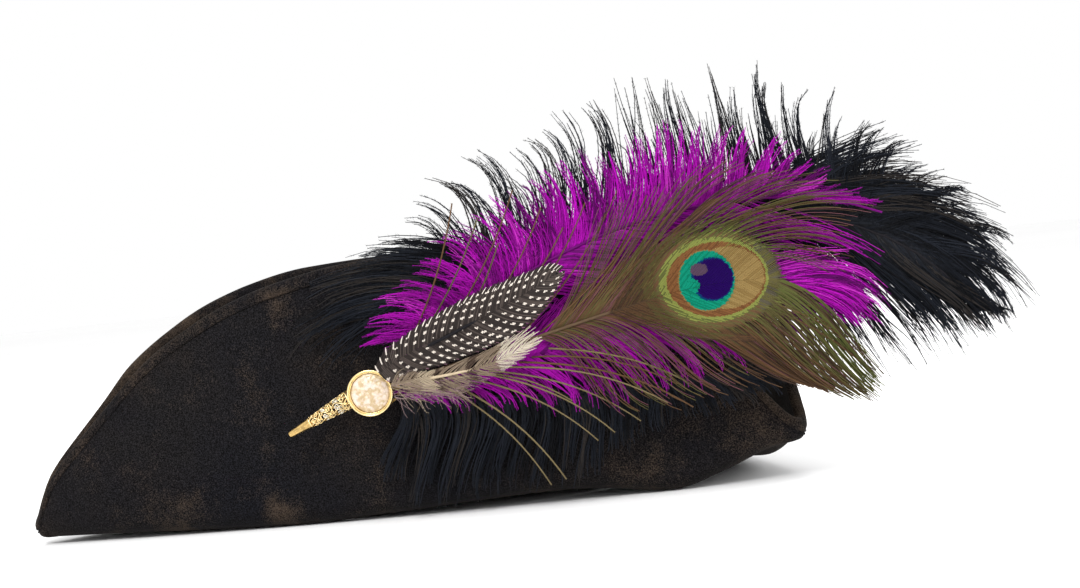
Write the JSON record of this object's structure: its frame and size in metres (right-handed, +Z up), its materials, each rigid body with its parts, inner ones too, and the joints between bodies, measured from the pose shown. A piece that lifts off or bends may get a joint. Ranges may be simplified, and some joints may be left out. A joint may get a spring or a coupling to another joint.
{
  "type": "pirate hat",
  "caption": "Three-cornered costume pirate hat with a wired brim turned up on all sides, oval crown, and a removable pinned spray of plumes with a round medallion.",
  "frame": {"origin": "centre of the head opening, on the level the hat stands on", "axes": "+Z up through the crown, front tip towards -X, feathered side towards -Y"},
  "size_m": [0.4388, 0.3269, 0.1926],
  "materials": {
    "black_cloth": "brushed suede-like cloth, scuffed",
    "binding_cloth": "rolled cloth edge, scuffed",
    "edge_wire": "plain",
    "lining": "satin weave",
    "sweatband": "ribbed tape",
    "pin_steel": "plain",
    "gold_metal": "aged gold colour",
    "cabochon": "mottled cream, polished",
    "glue": "cloudy",
    "quill_pale": "horn-like",
    "quill_dark": "dyed",
    "quill_purple": "dyed",
    "plume_black": "soft barbs",
    "plume_purple": "soft barbs",
    "peacock_vane": "iridescent barbs",
    "guinea_vane": "dark with white spots",
    "barred_vane": "cream with brown bars"
  },
  "bodies": {
    "hat": {"left_brim_flap": "black_cloth", "right_brim_flap": "black_cloth", "back_brim_flap": "black_cloth", "left_edge_binding": "binding_cloth", "right_edge_binding": "binding_cloth", "back_edge_binding": "binding_cloth", "brim_edge_wire": "edge_wire", "crown_side_band": "black_cloth", "crown_tip": "black_cloth", "crown_lining": "lining", "sweatband": "sweatband"},
    "plume_spray": {"spray_back_plate": "pin_steel", "medallion_bezel": "gold_metal", "medallion_cabochon": "cabochon", "quill_ferrule": "gold_metal", "glue_pad": "glue", "pin_hinge_ears": "pin_steel", "pin_hinge_rivet": "pin_steel", "pin_catch": "pin_steel", "black_plume_quill": "quill_dark", "black_plume_vane": "plume_black", "black_lower_plume_quill": "quill_dark", "black_lower_plume_vane": "plume_black", "purple_plume_quill": "quill_purple", "purple_plume_vane": "plume_purple", "purple_lower_plume_quill": "quill_purple", "purple_lower_plume_vane": "plume_purple", "peacock_quill": "quill_pale", "peacock_vane": "peacock_vane", "guinea_quill": "quill_pale", "guinea_vane": "guinea_vane", "barred_quill": "quill_pale", "barred_vane": "barred_vane"},
    "pin": {"pin_stem": "pin_steel"}
  },
  "joints": [
    {"name": "spray_lift", "type": "slide", "parent": "hat", "child": "plume_spray", "axis": [-0.3427, -0.9395, 0], "range_m": [0, 0.06]},
    {"name": "pin_swing", "type": "hinge", "parent": "plume_spray", "child": "pin", "pos_m": [-0.06718, -0.08322, 0.0605], "axis": [0, 0, 1], "range_deg": [0, 60]}
  ],
  "couplings": [
    {"joint": "pin_swing", "follows": "spray_lift", "rad_per_m": 17.4}
  ]
}
